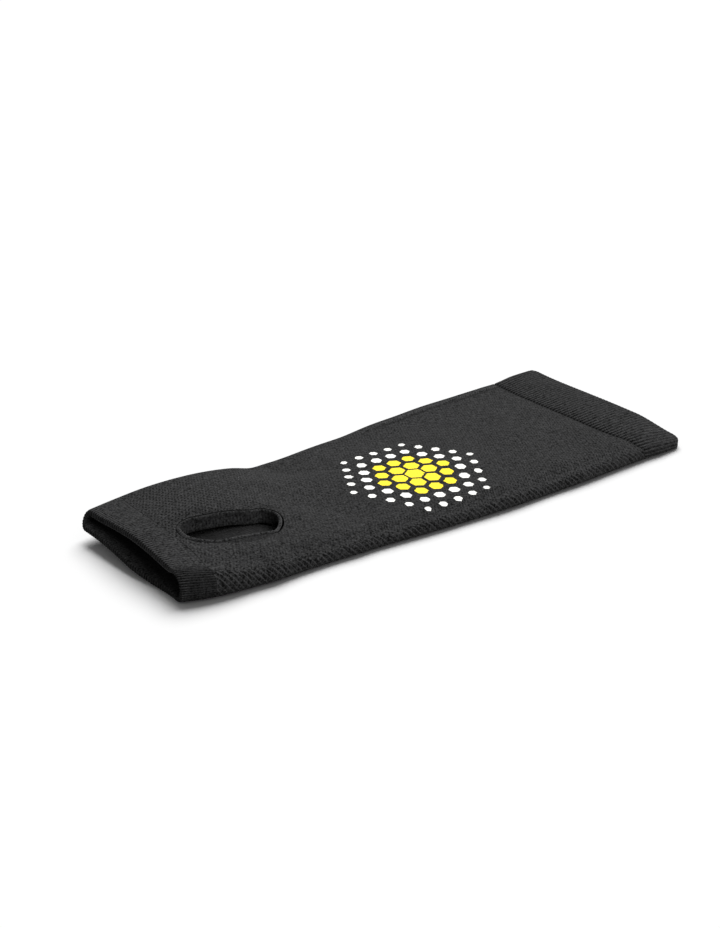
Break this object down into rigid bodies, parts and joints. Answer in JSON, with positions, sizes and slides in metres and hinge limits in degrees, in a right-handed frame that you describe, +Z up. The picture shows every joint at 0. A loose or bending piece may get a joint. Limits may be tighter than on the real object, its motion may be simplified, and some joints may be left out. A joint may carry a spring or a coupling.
{
  "type": "forearm sleeve",
  "caption": "Knitted tubular forearm sleeve lying flat, with ribbed cuffs at the hand and arm ends and a bound oval thumb hole in its upper wall.",
  "frame": {"origin": "middle of the sleeve's outline, on the surface that it lies on", "axes": "+X along the sleeve from the hand end to the arm end, +Y towards the far side of the picture, +Z up"},
  "size_m": [0.3, 0.1198, 0.0187],
  "materials": {
    "body_knit": "matte charcoal knit with a printed emblem",
    "rib_knit": "matte charcoal rib knit",
    "binding_knit": "matte charcoal overlocked knit edge"
  },
  "bodies": {
    "root": {"sleeve_body": "body_knit", "hand_cuff": "rib_knit", "arm_cuff": "rib_knit", "thumb_hole_binding": "binding_knit"}
  },
  "joints": []
}
